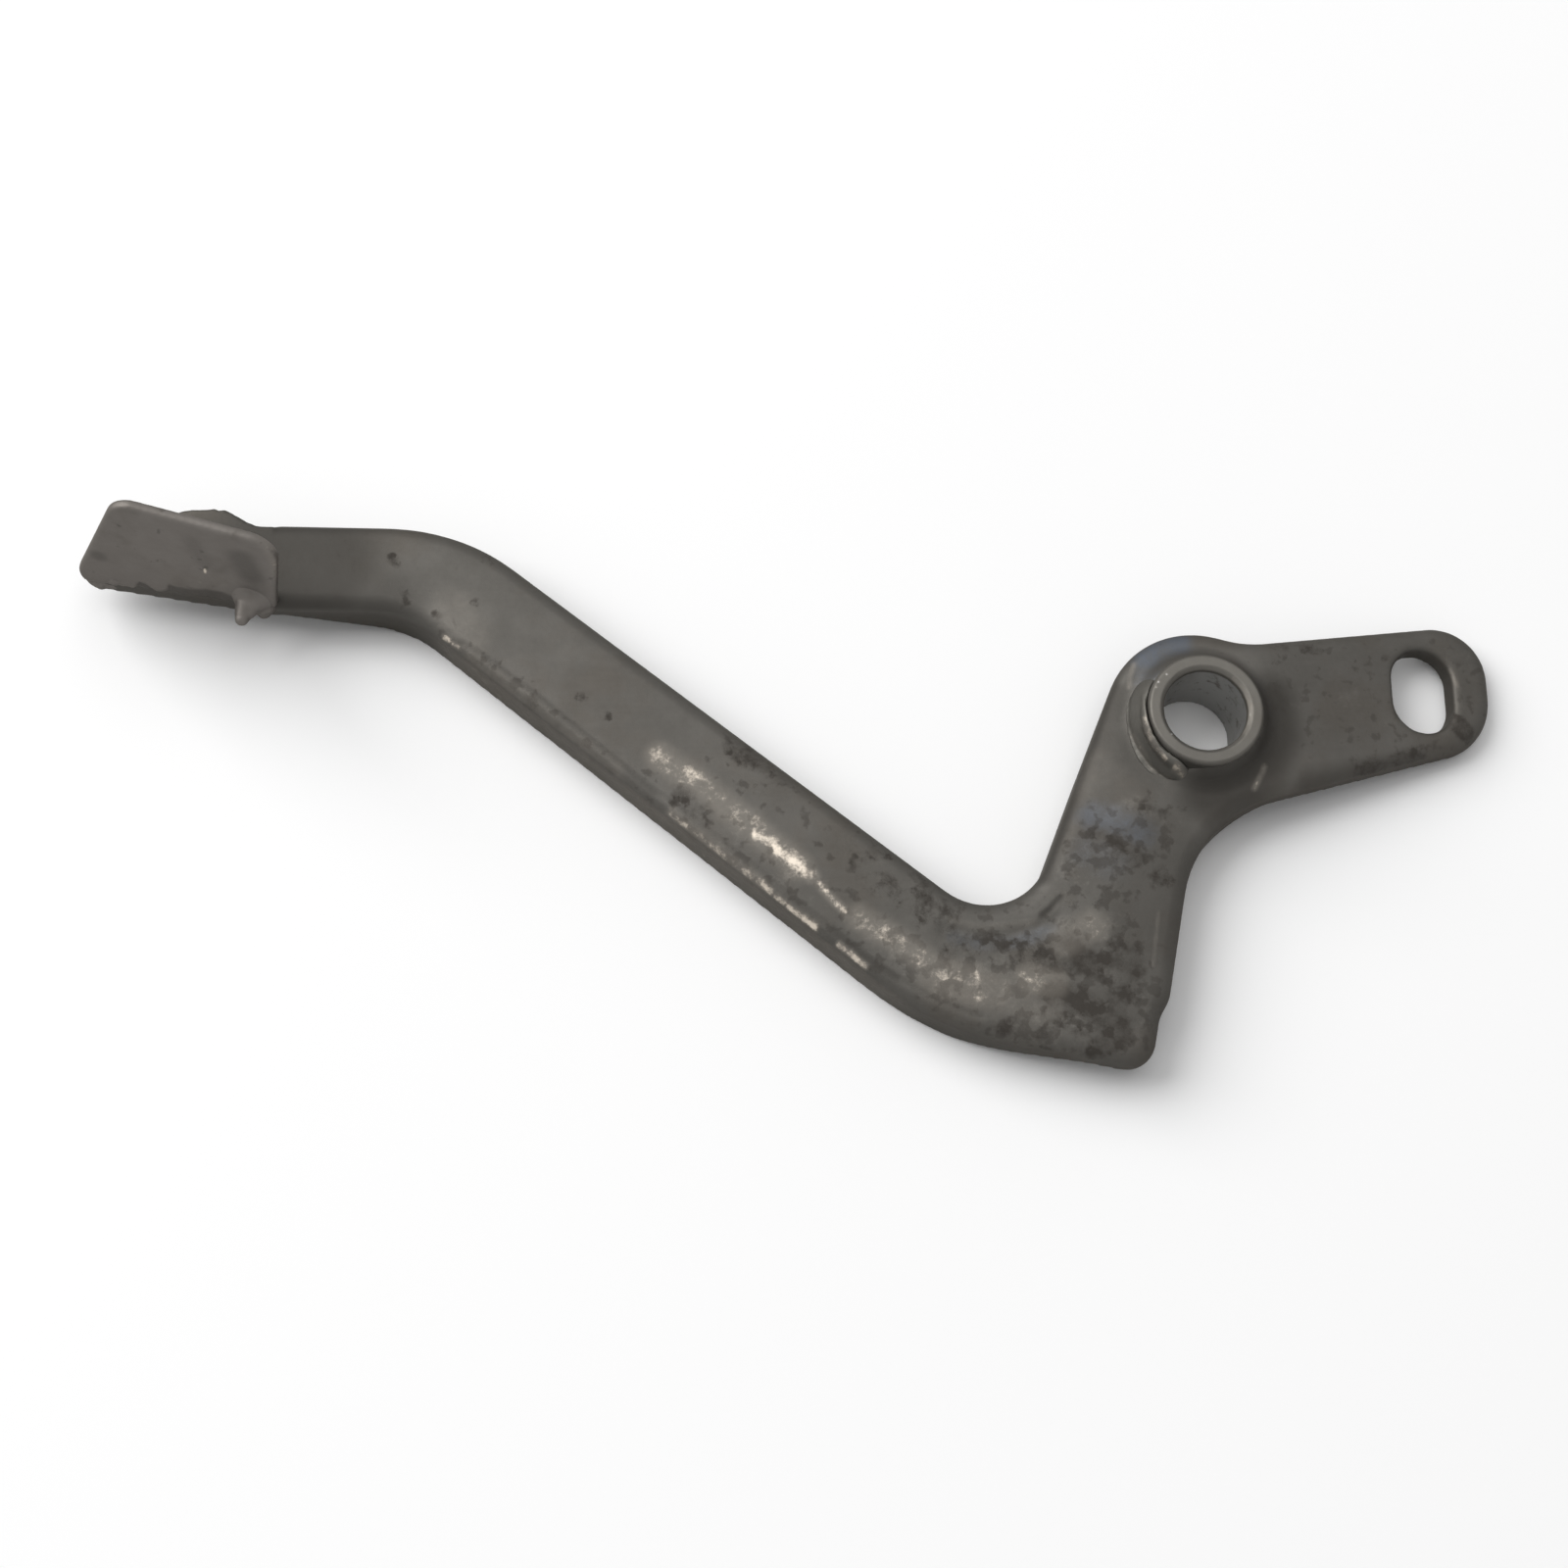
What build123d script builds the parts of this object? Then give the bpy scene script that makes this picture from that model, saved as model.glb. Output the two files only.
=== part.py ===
from build123d import *
import os
from math import cos, radians, sin, tan

# Rear brake pedal, a weldment of a pressed arm, a pivot tube and a tread plate.
# Millimetres. The bore's axis is Z, the back lies on the XY plane, X runs along
# the pedal from the tread plate towards the brake-rod lever.

# Plate and the channel that it is pressed into
plate = 4.5
arm_depth = 11.0
flange = 4.0
shoulder_r = 2.8

# Pivot tube
bore_d = 15.0
tube_wall = 3.0
tube_length = 17.0
bore_chamfer = 0.8
tube_edge = 0.5

# Round seat of the tube and the upright below it
seat_margin = 6.1
seat_shift_x = 0.1
seat_shift_y = 0.8
seat_tangent = 75.8
seat_fade_start = -12.0
seat_fade_end = 8.0
upright_angle = 68.75
upright_length = 51.65

# Elbow between the upright and the arm
elbow_inner_r = 11.6
elbow_outer_r = 59.5
elbow_across = 33.35
elbow_across_angle = -44.0
corner_r = 5.2
corner_fade_start = 34.0
corner_fade_end = 10.0
bottom_angle = -11.2
side_angle = 78.9
kink_height = 13.65
kink_run = 3.5
kink_inset = 1.25
kink_r = 6.0

# Diagonal arm, bend and neck
arm_angle = -37.5
arm_length = 126.3
arm_width = 21.15
arm_taper = 1.0
bend_outer_r = 36.0
bend_inner_r = 17.0
neck_length = 33.5
neck_width = 16.75
neck_fade_start = 23.0
neck_fade_end = 2.0

# Tongue under the tread plate
tongue_length = 38.5
tongue_angle = 171.6
tongue_end_width = 13.0
tongue_end_rake = 40.0
tongue_end_r = 3.0
hump_start = 3.2
hump_dip = 0.9
hump_reach = 10.5
hump_rise = 2.1
hump_r = 5.0

# Lever for the brake rod
lever_reach = 56.2
lever_step = 2.75
lever_root_width = 32.15
lever_top_angle = 9.2
lever_low_angle = 17.1
lever_top_r = 9.6
lever_low_r = 11.7
lever_root_top_r = 17.0
lever_root_low_r = 22.5
lever_bend_gap = 1.5
lever_lean = 8.0
lever_bend_r = 30.0
lever_fade = 10.0
slot_reach = 43.1
slot_height = 8.0
slot_width = 11.8
slot_length = 16.0
slot_chamfer = 0.7

# Tread plate
pad_plate = 2.2
pad_tilt = 10.0
pad_reach = 32.5
pad_root_left = -3.9
pad_root_right = 33.5
pad_left_run = 12.2
pad_left_depth = 25.6
pad_right_run = 2.9
pad_right_depth = 19.8
pad_root_r = 4.0
pad_left_r = 4.6
pad_right_r = 6.0
pad_edge_r = 0.8
pad_edge = 0.5

# Welds
tube_bead_r = 2.6
tube_bead_start = 118.0
tube_bead_sweep = 150.0
tube_bead_end_angle = 45.0
pad_bead_r = 1.5
pad_bead_sink = 1.0
pad_bead_out = 0.6
pad_bead_start = 4.5
pad_bead_length = 22.0
pad_lump_r = 2.0
pad_lump_sink = 1.2
pad_lump_pitch = 5.3
pad_lump_count = 3
drip_place = 28.6
drip_root_r = 2.4
drip_r = 1.3
drip_length = 4.8


def leg(start, length, angle):
    """The point at the end of a straight leg from start."""
    return start + Vector(length * cos(radians(angle)), length * sin(radians(angle)))


def meet(p, p_angle, q, q_angle):
    """Where the line through p meets the line through q."""
    along_p = leg(centre, 1, p_angle)
    along_q = leg(centre, 1, q_angle)
    turn = along_p.cross(along_q).Z
    return p + along_p * ((q - p).cross(along_q).Z / turn)


def closed_outline(corners):
    """A closed outline through corners, each rounded by its own radius."""
    return FilletPolyline(*[p for p, r in corners], radius=[r for p, r in corners], close=True)


def inset(corners, distance):
    """The corners of the parallel outline inside an anticlockwise one, with their radii."""
    inside = []
    for before, (p, r), after in zip(corners[-1:] + corners, corners, corners[1:] + corners[:1]):
        into = (p - before[0]).normalized()
        out_of = (after[0] - p).normalized()
        inward = (into.rotate(Axis.Z, 90) + out_of.rotate(Axis.Z, 90)).normalized()
        reach = distance / inward.dot(into.rotate(Axis.Z, 90))
        turns_left = into.cross(out_of).Z > 0
        inside.append((p + inward * reach, max(r - distance, 0) if turns_left else r + distance))
    return inside


centre = Vector(0, 0)
tube_od = bore_d + 2 * tube_wall
seat_r = tube_od / 2 + seat_margin
web_back = arm_depth - plate

# Corners of the outline, round the seat, down the upright and out along the arm
seat_left = upright_angle + 90
seat_half = (seat_left - seat_tangent) / 2
seat_centre = Vector(seat_shift_x, seat_shift_y)
seat_corner = leg(seat_centre, seat_r / cos(radians(seat_half)), seat_tangent + seat_half)
inner_elbow = leg(leg(seat_centre, seat_r, seat_left), upright_length, upright_angle + 180)
upper_bend = leg(inner_elbow, arm_length, arm_angle + 180)
neck_top = leg(upper_bend, neck_length, 180)
neck_low = leg(neck_top, neck_width, 270)
arm_low = leg(inner_elbow, arm_width, arm_angle - 90)
arm_low_angle = arm_angle - arm_taper
lower_bend = meet(neck_low, 0, arm_low, arm_low_angle)
side_corner = leg(inner_elbow, elbow_across, elbow_across_angle)
low_elbow = meet(arm_low, arm_low_angle, side_corner, bottom_angle)
outer_corner = leg(side_corner, kink_inset, bottom_angle + 180)
kink_top = leg(side_corner, kink_height, side_angle)
kink_low = leg(outer_corner, kink_height - kink_run, side_angle)

# Corners of the lever
lever_top = Vector(0, seat_r - lever_step)
lever_low = Vector(0, lever_top.Y - lever_root_width)
lever_end = Vector(lever_reach, 0)
lever_end_top = meet(lever_top, lever_top_angle, lever_end, 90)
lever_end_low = meet(lever_low, lever_low_angle, lever_end, 90)
seat_end = leg(seat_centre, seat_r, seat_tangent)
lever_root_top = meet(lever_top, lever_top_angle, seat_end, seat_tangent - 90)
lever_root_low = meet(lever_low, lever_low_angle, side_corner, side_angle)

around_arm = [
    (lever_end_low, lever_low_r),
    (lever_end_top, lever_top_r),
    (lever_root_top, lever_root_top_r),
    (seat_corner, seat_r),
    (inner_elbow, elbow_inner_r),
    (upper_bend, bend_outer_r),
    (neck_top, 0),
    (neck_low, 0),
    (lower_bend, bend_inner_r),
    (low_elbow, elbow_outer_r),
]
squared_corner = [(outer_corner, corner_r), (kink_low, kink_r), (kink_top, kink_r)]
channel_corner = [(side_corner, corner_r + flange)]
root_corner = [(lever_root_low, lever_root_low_r)]

# Corners of the tongue, which is flat plate from the end of the neck
tongue_low = leg(neck_low, tongue_length, tongue_angle)
tongue_end = tongue_end_width / cos(radians(tongue_end_rake))
tongue_top = leg(tongue_low, tongue_end, tongue_angle - 90 - tongue_end_rake)
tongue_start = leg(neck_top, hump_dip, 270)
hump_foot = leg(tongue_start, hump_start, 180)
hump_top = leg(neck_top, hump_reach, 180) + Vector(0, hump_rise)
tongue = [
    (neck_low, 0),
    (tongue_start, 0),
    (hump_foot, hump_r),
    (hump_top, hump_r),
    (tongue_top, tongue_end_r),
    (tongue_low, tongue_end_r),
]

# The lever leans back from a bend just outside the tube
bend_x = tube_od / 2 + lever_bend_gap
lever_run = lever_reach - bend_x
lever_drop = lever_run * tan(radians(lever_lean))
lever_back = plate / cos(radians(lever_lean))
lever_plane = Plane(
    origin=(bend_x, 0, arm_depth),
    x_dir=(cos(radians(lever_lean)), 0, -sin(radians(lever_lean))),
    z_dir=(sin(radians(lever_lean)), 0, cos(radians(lever_lean))),
)
slot_along = (slot_reach - bend_x) / cos(radians(lever_lean))

# Side view of the pressing: the flanges reach back to the XY plane and fade out at both ends
past_lever = lever_reach + lever_run
past_neck = neck_top.X - neck_length
side_view = [
    ((past_neck, arm_depth), 0),
    ((bend_x, arm_depth), lever_bend_r),
    ((past_lever, arm_depth - 2 * lever_drop), 0),
    ((past_lever, arm_depth - 2 * lever_drop - lever_back), 0),
    ((bend_x, web_back), 0),
    ((bend_x - lever_fade, 0), 0),
    ((neck_top.X + neck_fade_start, 0), 0),
    ((neck_top.X + neck_fade_end, web_back), 0),
    ((past_neck, web_back), 0),
]

# The flanges also fade out round the seat and towards the squared corner
past_seat = 2 * seat_r
seat_fade = [
    (seat_fade_start, 0),
    (seat_fade_end, web_back),
    (past_seat, web_back),
    (past_seat, 0),
]
past_corner = side_corner.X + arm_width
corner_fade = [
    (outer_corner.X - corner_fade_start, 0),
    (outer_corner.X - corner_fade_end, web_back),
    (past_corner, web_back),
    (past_corner, 0),
]

# Pressed arm
with BuildPart() as pedal_arm:
    with BuildSketch():
        with BuildLine():
            closed_outline(around_arm + squared_corner + root_corner)
        make_face()
    extrude(amount=arm_depth)
    with BuildSketch(Plane.XZ):
        with BuildLine():
            closed_outline(side_view)
        make_face()
    extrude(amount=2 * arm_length, both=True, mode=Mode.INTERSECT)
    front = pedal_arm.faces().filter_by(lambda face: face.normal_at().Z > 0.9)
    shoulder = [
        edge
        for edge in front.edges()
        if sum(edge.is_same(other) for other in front.edges()) == 1
        and edge.center().X > neck_top.X + neck_fade_end
    ]
    fillet(shoulder, radius=shoulder_r)
    with BuildSketch():
        with BuildLine():
            closed_outline(inset(around_arm + channel_corner + root_corner, flange))
        make_face()
        with Locations((bend_x, 0)):
            Rectangle(lever_run, 2 * arm_length, align=(Align.MIN, Align.CENTER), mode=Mode.SUBTRACT)
    extrude(amount=web_back, mode=Mode.SUBTRACT)
    with BuildSketch(Plane.YZ.offset(bend_x)):
        with BuildLine():
            Polyline(*seat_fade, close=True)
        make_face()
    extrude(amount=-(bend_x + past_seat), mode=Mode.SUBTRACT)
    with BuildSketch(Plane.XZ.offset(-kink_top.Y)):
        with BuildLine():
            Polyline(*corner_fade, close=True)
        make_face()
    extrude(amount=arm_width, mode=Mode.SUBTRACT)
    with BuildSketch(Plane.XY.offset(web_back)):
        with BuildLine():
            closed_outline(tongue)
        make_face()
    extrude(amount=plate)
    with Locations((0, 0, arm_depth)):
        Hole(tube_od / 2)
    with BuildSketch(lever_plane):
        with Locations((slot_along, slot_height)):
            SlotOverall(slot_length, slot_width, rotation=90)
    extrude(amount=plate, both=True, mode=Mode.SUBTRACT)
    slot_rim = [
        edge
        for edge in pedal_arm.edges(Select.LAST)
        if lever_plane.to_local_coords(edge).center().Z > -slot_chamfer
    ]
    chamfer(slot_rim, length=slot_chamfer)

pedal_arm.part.label = "pedal_arm"

# Pivot tube, through the arm and flush with the flanges at the back
with BuildPart() as pivot_tube:
    with BuildSketch():
        Circle(tube_od / 2)
        Circle(bore_d / 2, mode=Mode.SUBTRACT)
    extrude(amount=tube_length)
    rims = pivot_tube.edges().filter_by(GeomType.CIRCLE)
    chamfer(rims.filter_by(lambda rim: rim.radius < tube_od / 2).sort_by(Axis.Z)[-1], length=bore_chamfer)
    chamfer(rims.filter_by(lambda rim: rim.radius == tube_od / 2), length=tube_edge)

pivot_tube.part.label = "pivot_tube"

# Lower face of the tread plate, flush with the tongue's lower edge: X runs along the seam, Y outwards
seam_left = leg(neck_low, pad_reach, tongue_angle)
seam = leg(centre, 1, tongue_angle + 180)
seam_up = leg(centre, 1, tongue_angle - 90)
pad_out = seam_up * sin(radians(pad_tilt)) + Vector(0, 0, cos(radians(pad_tilt)))
pad_plane = Plane(origin=(seam_left.X, seam_left.Y, arm_depth), x_dir=seam, z_dir=seam.cross(pad_out))
pad_root = -pad_plate
pad_outline = [
    ((pad_root_left, pad_root), pad_root_r),
    ((pad_root_right, pad_root), 0),
    ((pad_root_right + pad_right_run, pad_right_depth), pad_right_r),
    ((pad_root_left + pad_left_run, pad_left_depth), pad_left_r),
]

# Tread plate, cut off square where it stands on the tongue's face
with BuildPart() as foot_pad:
    with BuildSketch(pad_plane):
        with BuildLine():
            closed_outline(pad_outline)
        make_face()
    extrude(amount=-pad_plate)
    downward = Axis(pad_plane.origin, pad_plane.z_dir)
    fillet(foot_pad.faces().sort_by(downward)[-1].edges(), radius=pad_edge_r)
    chamfer(foot_pad.faces().sort_by(downward)[0].edges(), length=pad_edge)
    split(bisect_by=Plane.XY.offset(arm_depth), keep=Keep.TOP)

foot_pad.part.label = "foot_pad"

# Weld bead round the side of the tube away from the lever, sloped down to nothing at both ends
with BuildPart() as pivot_weld:
    start = leg(centre, 1, tube_bead_start)
    bead_plane = Plane(origin=(0, 0, arm_depth), x_dir=start, z_dir=start.cross(Vector(0, 0, 1)))
    with BuildSketch(bead_plane):
        with BuildLine():
            toe = (tube_od / 2 + tube_bead_r, 0)
            top = (tube_od / 2, tube_bead_r)
            Polyline(top, (tube_od / 2, 0), toe)
            RadiusArc(toe, top, -tube_bead_r)
        make_face()
    revolve(axis=Axis.Z, revolution_arc=tube_bead_sweep)
    for end, inward in ((tube_bead_start, 90), (tube_bead_start + tube_bead_sweep, -90)):
        along_bead = leg(centre, sin(radians(tube_bead_end_angle)), end + inward)
        down = Vector(0, 0, -cos(radians(tube_bead_end_angle)))
        run_out = Plane(origin=(0, 0, arm_depth), x_dir=leg(centre, 1, end), z_dir=along_bead + down)
        split(bisect_by=run_out, keep=Keep.TOP)

pivot_weld.part.label = "pivot_weld"

# Lumpy weld bead under the tread plate, with a drip at its inner end
from_end = (Align.CENTER, Align.CENTER, Align.MIN)
with BuildPart(pad_plane) as pad_weld:
    with Locations((pad_bead_start, pad_bead_out, -pad_bead_sink)):
        Cylinder(pad_bead_r, pad_bead_length, rotation=(0, 90, 0), align=from_end)
    with Locations((pad_bead_start, pad_bead_out, -pad_lump_sink)):
        with GridLocations(pad_lump_pitch, 0, pad_lump_count, 1, align=(Align.MIN, Align.CENTER)):
            Sphere(pad_lump_r)
    with Locations((drip_place, pad_bead_out, -pad_bead_sink)):
        Cone(drip_root_r, drip_r, drip_length, align=from_end)
        with Locations((0, 0, drip_length)):
            Sphere(drip_r)
    split(bisect_by=pad_plane, keep=Keep.TOP)

pad_weld.part.label = "pad_weld"

os.makedirs("parts", exist_ok=True)
export_step(pedal_arm.part, "parts/pedal_arm.step")
export_step(pivot_tube.part, "parts/pivot_tube.step")
export_step(pivot_weld.part, "parts/pivot_weld.step")
export_step(foot_pad.part, "parts/foot_pad.step")
export_step(pad_weld.part, "parts/pad_weld.step")
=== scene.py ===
from math import cos, pi, radians, sin

import bmesh
import bpy
import numpy as np
from mathutils import Matrix, Vector
from mathutils.kdtree import KDTree


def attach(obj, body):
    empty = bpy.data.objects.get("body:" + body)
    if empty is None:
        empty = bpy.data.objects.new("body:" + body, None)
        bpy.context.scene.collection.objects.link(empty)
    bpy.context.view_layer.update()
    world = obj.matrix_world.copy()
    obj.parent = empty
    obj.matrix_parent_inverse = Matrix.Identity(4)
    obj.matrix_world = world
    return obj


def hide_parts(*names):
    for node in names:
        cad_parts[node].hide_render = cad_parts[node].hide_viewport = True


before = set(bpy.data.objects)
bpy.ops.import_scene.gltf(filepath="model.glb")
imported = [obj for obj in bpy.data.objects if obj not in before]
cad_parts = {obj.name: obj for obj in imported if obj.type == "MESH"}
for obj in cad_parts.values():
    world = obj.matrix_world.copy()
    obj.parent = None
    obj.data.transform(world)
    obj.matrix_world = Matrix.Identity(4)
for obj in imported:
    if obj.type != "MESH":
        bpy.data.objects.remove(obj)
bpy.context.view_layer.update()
scene = bpy.context.scene
MM = 0.001
# The pivot tube's outer radius in millimetres
TUBE_R = 10.5
WHITE = (1, 1, 1, 1)

# Node sockets that can be added and multiplied

# A Mix node has sockets for several kinds of value, and these are the places of those for colours
MIX_FROM, MIX_TO, MIXED = 6, 7, 2


class Socket:
    """A node's socket, or a whole node tree to start from, with arithmetic."""

    def __init__(self, tree, socket=None):
        self.tree = tree
        self.socket = socket

    def add(self, kind, settings=None, values=None, output=0):
        """Adds a node with its settings, then its sockets' values or links."""
        node = self.tree.nodes.new(kind)
        for key, value in (settings or {}).items():
            setattr(node, key, value)
        for key, value in (values or {}).items():
            if isinstance(value, Socket):
                self.tree.links.new(value.socket, node.inputs[key])
            else:
                node.inputs[key].default_value = value
        return Socket(self.tree, node.outputs[output] if node.outputs else None)

    def maths(self, operation, *others):
        """One Math node, with this socket first."""
        return self.add("ShaderNodeMath", {"operation": operation}, dict(enumerate((self,) + others)))

    def __add__(self, other):
        return self.maths("ADD", other)

    def __sub__(self, other):
        return self.maths("SUBTRACT", other)

    def __mul__(self, other):
        return self.maths("MULTIPLY", other)

    def __rsub__(self, other):
        return self.add("ShaderNodeMath", {"operation": "SUBTRACT"}, {0: other, 1: self})

    __radd__ = __add__
    __rmul__ = __mul__

    def step(self, low, high):
        """A soft step from 0 at low to 1 at high."""
        values = {"Value": self, "From Min": low, "From Max": high}
        return self.add("ShaderNodeMapRange", {"interpolation_type": "SMOOTHSTEP"}, values)

    def span(self, low, high):
        """0 to 1 stretched to low to high."""
        return self.add("ShaderNodeMapRange", {}, {"Value": self, "To Min": low, "To Max": high})

    def noise(self, scale, detail, roughness, stretch=None, turn=0.0):
        """Noise over the surface, scale in patches for each millimetre."""
        spot = self
        if stretch:
            values = {"Vector": self, "Rotation": (0, 0, turn), "Scale": stretch}
            spot = self.add("ShaderNodeMapping", {}, values)
        values = {"Vector": spot, "Scale": scale, "Detail": detail, "Roughness": roughness}
        return self.add("ShaderNodeTexNoise", {}, values)

    def tint(self, colour, other):
        """This mask takes colour to the other colour."""
        ends = [value if isinstance(value, Socket) else (*value, 1) for value in (colour, other)]
        values = {"Factor": self, MIX_FROM: ends[0], MIX_TO: ends[1]}
        return self.add("ShaderNodeMix", {"data_type": "RGBA"}, values, MIXED)


def cleared(holder):
    """The emptied node tree of a material or a world, to start from."""
    holder.use_nodes = True
    holder.node_tree.nodes.clear()
    return Socket(holder.node_tree)


# Steel finishes, and the marks that a piece carries for them

MARKS = ("age", "polish_and_painted_light", "rust", "blue", "shade")
BROWN = (0.068, 0.059, 0.049)
PALE = (0.125, 0.118, 0.107)
BARE = (0.15, 0.14, 0.126)
BLUED = (0.09, 0.1, 0.117)
GRIME_AND_SHADE = (0.04, 0.037, 0.033)
RUSTED = (0.044, 0.039, 0.034)
GLOW = (0.22, 0.2, 0.175)
RUBBED_AND_PAINTED_LIGHT = (0.62, 0.55, 0.465)
TURNED_AND_PAINTED_LIGHT = (0.42, 0.42, 0.415)
SHEEN = (0.45, 0.44, 0.42, 1)
# The grain is drawn out along the diagonal arm
GRAIN_STRETCH = (0.12, 1.6, 1.6)
GRAIN_TURN = 0.656


def worn_steel(name, dark, light, bright):
    """Bare steel gone dull, with rust, blued patches, worn bright streaks, grime, painted highlights and
    painted shade where it is marked for them.
    """
    material = bpy.data.materials.new(name)
    start = cleared(material)
    place = start.add("ShaderNodeTexCoord", {}, {}, "Object")
    place = start.add("ShaderNodeVectorMath", {"operation": "SCALE"}, {0: place, "Scale": 1 / MM})
    marks = {}
    for mark in MARKS:
        marks[mark] = start.add("ShaderNodeAttribute", {"attribute_name": mark}, {}, "Fac")

    broad = place.noise(0.045, detail=2, roughness=0.5)
    mottle = place.noise(0.21, detail=5, roughness=0.6)
    patch = place.noise(0.12, detail=8, roughness=0.72)
    fleck = place.noise(0.5, detail=6, roughness=0.72)
    speck = place.noise(0.95, detail=4, roughness=0.6)
    grain = place.noise(1.0, detail=3, roughness=0.6, stretch=GRAIN_STRETCH, turn=GRAIN_TURN)

    tone = (broad * 0.6 + mottle * 0.4).step(0.3, 0.7)
    colour = tone.tint(dark, light)
    brown = (place.noise(0.07, detail=4, roughness=0.6) + mottle * 0.3).step(0.58, 0.84)
    colour = (brown * 0.45).tint(colour, BROWN)
    fine = ((speck - 0.5) * 0.9 + (grain - 0.5) * 0.6).step(-0.4, 0.6)
    colour = fine.span(0.0, 0.2).tint(colour, PALE)

    bare = (marks["age"] * ((patch - 0.5) * 2.2 + (fleck - 0.5) * 1.6)).step(0.05, 0.7)
    colour = (bare * 0.6).tint(colour, BARE)

    blue = (marks["blue"] * (patch * 1.2 + fleck * 1.3 - 0.25)).step(0.2, 1.15)
    colour = (blue * 0.9).tint(colour, BLUED)

    # Painted shade, with some grime, takes the colour towards dark where the piece is marked with shade
    shade = marks["shade"] * (mottle * 0.5 + 0.75)
    colour = shade.maths("MINIMUM", 1.0).tint(colour, GRIME_AND_SHADE)

    stained = (marks["rust"] * 4.0).maths("MINIMUM", 1.0)
    field = marks["rust"] * 0.9 + stained * ((mottle - 0.5) * 1.2 + (fleck - 0.5) * 2.3)
    field = field + marks["age"] * ((0.5 - patch) * 1.7 + (0.5 - fleck) * 1.8)
    rust = field.step(0.16, 0.8)
    spots = place.noise(0.42, detail=3, roughness=0.5) * (marks["age"] * 0.3 + 0.7)
    spots = spots.step(0.5, 0.6)
    rust = (rust + spots * 0.45).maths("MINIMUM", 1.0)
    colour = (rust * (fleck * 0.6 + 0.6)).tint(colour, RUSTED)

    # This mark gives worn bright steel, and where it is laid on rims, ridge tops, the bore and the lower side
    # wall it gives painted highlights and painted light
    ragged = marks["polish_and_painted_light"] * (mottle * 1.4 + fleck * 2.2 - 0.8)
    glow = (marks["polish_and_painted_light"] * 0.7 + ragged * 0.4).step(0.1, 1.1)
    colour = (glow * 0.6).tint(colour, GLOW)
    rubbed_and_painted_light = (ragged - rust * 0.3).step(0.56, 1.12)
    colour = (rubbed_and_painted_light * 0.9).tint(colour, bright)

    roughness = tone.span(0.56, 0.5) + rust * 0.2 - rubbed_and_painted_light * 0.2 - bare * 0.05
    metallic = 0.8 - rust * 0.45 - shade * 0.3
    height = speck * 0.3 + mottle * 0.4 + fleck * 0.3 + grain * 0.15 - rust * 0.4 + rubbed_and_painted_light * 0.15
    bump = start.add("ShaderNodeBump", {}, {"Height": height, "Distance": 0.1 * MM, "Strength": 1.0})
    values = {"Base Color": colour, "Roughness": roughness, "Metallic": metallic, "Normal": bump,
              "Specular IOR Level": 0.3, "Specular Tint": SHEEN}
    shader = start.add("ShaderNodeBsdfPrincipled", {}, values)
    start.add("ShaderNodeOutputMaterial", {}, {"Surface": shader})
    return material


arm_finish = worn_steel("arm worn steel", (0.077, 0.073, 0.066), (0.098, 0.093, 0.085), RUBBED_AND_PAINTED_LIGHT)
# The tread plate's steel is painted lighter than the arm's, as painted light, because its face turns away from
# the lamps
pad_steel_painted_lighter = worn_steel("tread worn steel", (0.142, 0.13, 0.119), (0.17, 0.157, 0.145), RUBBED_AND_PAINTED_LIGHT)
tube_finish = worn_steel("tube turned steel", (0.113, 0.107, 0.096), (0.133, 0.126, 0.113), TURNED_AND_PAINTED_LIGHT)
weld_finish = worn_steel("weld bead steel", (0.102, 0.098, 0.088), (0.132, 0.126, 0.113), RUBBED_AND_PAINTED_LIGHT)

# Fine meshes that carry the dents, the wear and the painted shade and highlights

# Points of a CAD mesh that are this close in millimetres are one point
MERGED = 0.001
# A loose shell with fewer points than this is a crumb
CRUMB_POINTS = 200
# Keeps a line that is a single place from dividing by nothing
TINY = 1e-9
RIDGE_STEPS = 90
RIDGE_SIDES = 14


def linked(name, item):
    """A new object in the scene that holds a mesh, a light or a camera."""
    piece = bpy.data.objects.new(name, item)
    scene.collection.objects.link(piece)
    return piece


def plain(piece):
    """The piece with its modifiers worked into a plain mesh."""
    worked = piece.evaluated_get(bpy.context.evaluated_depsgraph_get())
    mesh = bpy.data.meshes.new_from_object(worked)
    piece.modifiers.clear()
    piece.data = mesh
    return piece


def without_crumbs(piece):
    """Drops the loose crumbs that remeshing can leave, and keeps whole shells."""
    shell = bmesh.new()
    shell.from_mesh(piece.data)
    left = set(shell.verts)
    while left:
        group = {left.pop()}
        edge = list(group)
        while edge:
            near = {link.other_vert(vert) for vert in edge for link in vert.link_edges} & left
            left -= near
            group |= near
            edge = list(near)
        if len(group) < CRUMB_POINTS:
            bmesh.ops.delete(shell, geom=list(group), context="VERTS")
    shell.to_mesh(piece.data)
    shell.free()
    return piece


def even(piece, voxel, rounds):
    """Remeshes a piece in even squares and softens its edges."""
    remesh = piece.modifiers.new("Even", "REMESH")
    remesh.mode = "VOXEL"
    remesh.voxel_size = voxel * MM
    soften = piece.modifiers.new("Soften", "SMOOTH")
    soften.factor = 0.5
    soften.iterations = rounds
    return without_crumbs(plain(piece))


def copied(name, node, *extras):
    """A merged copy of a CAD node, with other meshes joined to it."""
    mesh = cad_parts[node].data.copy()
    mesh.materials.clear()
    shell = bmesh.new()
    shell.from_mesh(mesh)
    bmesh.ops.remove_doubles(shell, verts=shell.verts, dist=MERGED * MM)
    for extra in extras:
        shell.from_mesh(extra)
    shell.to_mesh(mesh)
    shell.free()
    return linked(name, mesh)


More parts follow.
